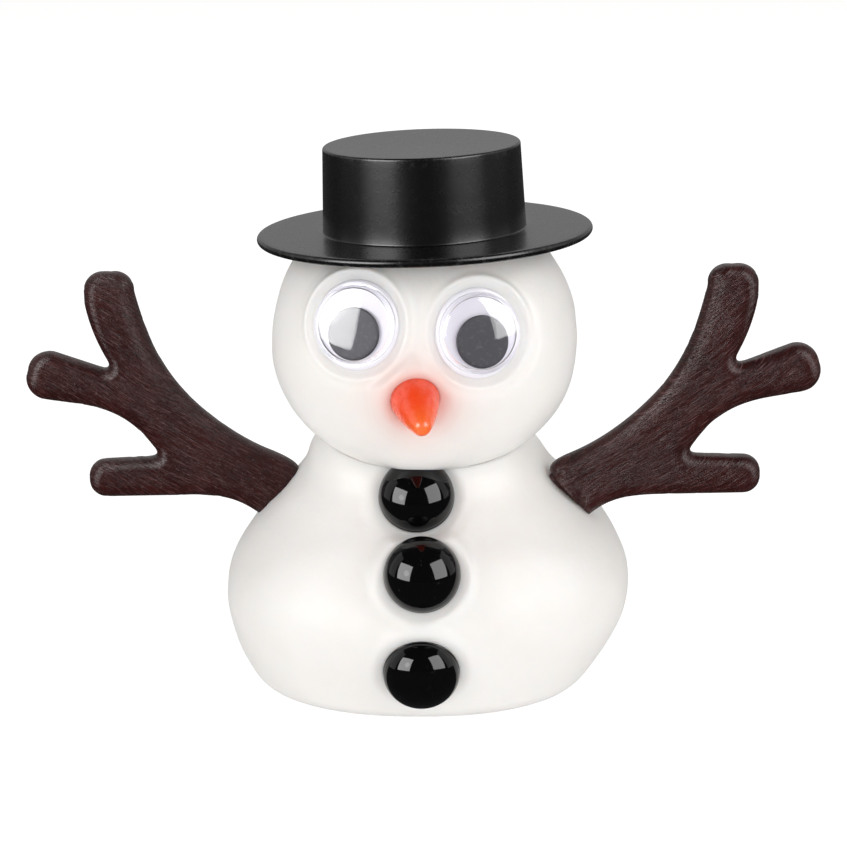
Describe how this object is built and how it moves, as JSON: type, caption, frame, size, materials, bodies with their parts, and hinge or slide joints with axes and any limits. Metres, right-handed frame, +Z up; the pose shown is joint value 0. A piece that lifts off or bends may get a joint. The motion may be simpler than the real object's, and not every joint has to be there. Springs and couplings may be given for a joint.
{
  "type": "putty snowman toy",
  "caption": "Toy snowman of soft white putty wearing a black plastic top hat, with wiggle eyes, a carrot nose, dome buttons and twig arms pressed into it.",
  "frame": {"origin": "on the flat underside of the body, under the middle of the neck", "axes": "+Z up, the face looks along -Y, +X towards the snowman's own left hand"},
  "size_m": [0.1167, 0.0559, 0.0816],
  "materials": {
    "putty": "satin, slightly translucent white putty",
    "hat_plastic": "satin black moulded plastic",
    "nose_plastic": "glossy translucent orange",
    "button_plastic": "polished black",
    "arm_plastic": "satin dark brown with a fine embossed grain",
    "eye_white": "glossy white",
    "pupil_black": "satin black",
    "eye_clear": "clear and glossy"
  },
  "bodies": {
    "snowman": {"body": "putty", "head": "putty", "hat": "hat_plastic", "nose": "nose_plastic", "button_top": "button_plastic", "button_middle": "button_plastic", "button_bottom": "button_plastic", "arm_right_hand": "arm_plastic", "arm_left_hand": "arm_plastic", "eye_backing_right_hand": "eye_white", "eye_dome_right_hand": "eye_clear", "eye_backing_left_hand": "eye_white", "eye_dome_left_hand": "eye_clear"},
    "pupil_right_hand": {"eye_pupil_right_hand": "pupil_black"},
    "pupil_left_hand": {"eye_pupil_left_hand": "pupil_black"}
  },
  "joints": [
    {"name": "pupil_right_hand_roll", "type": "hinge", "parent": "snowman", "child": "pupil_right_hand", "pos_m": [-0.0096, -0.0183, 0.0579], "axis": [-0.2541, -0.9482, 0.1908], "continuous": true},
    {"name": "pupil_left_hand_roll", "type": "hinge", "parent": "snowman", "child": "pupil_left_hand", "pos_m": [0.00745, -0.0186, 0.0568], "axis": [0.2222, -0.9624, 0.1564], "continuous": true}
  ]
}
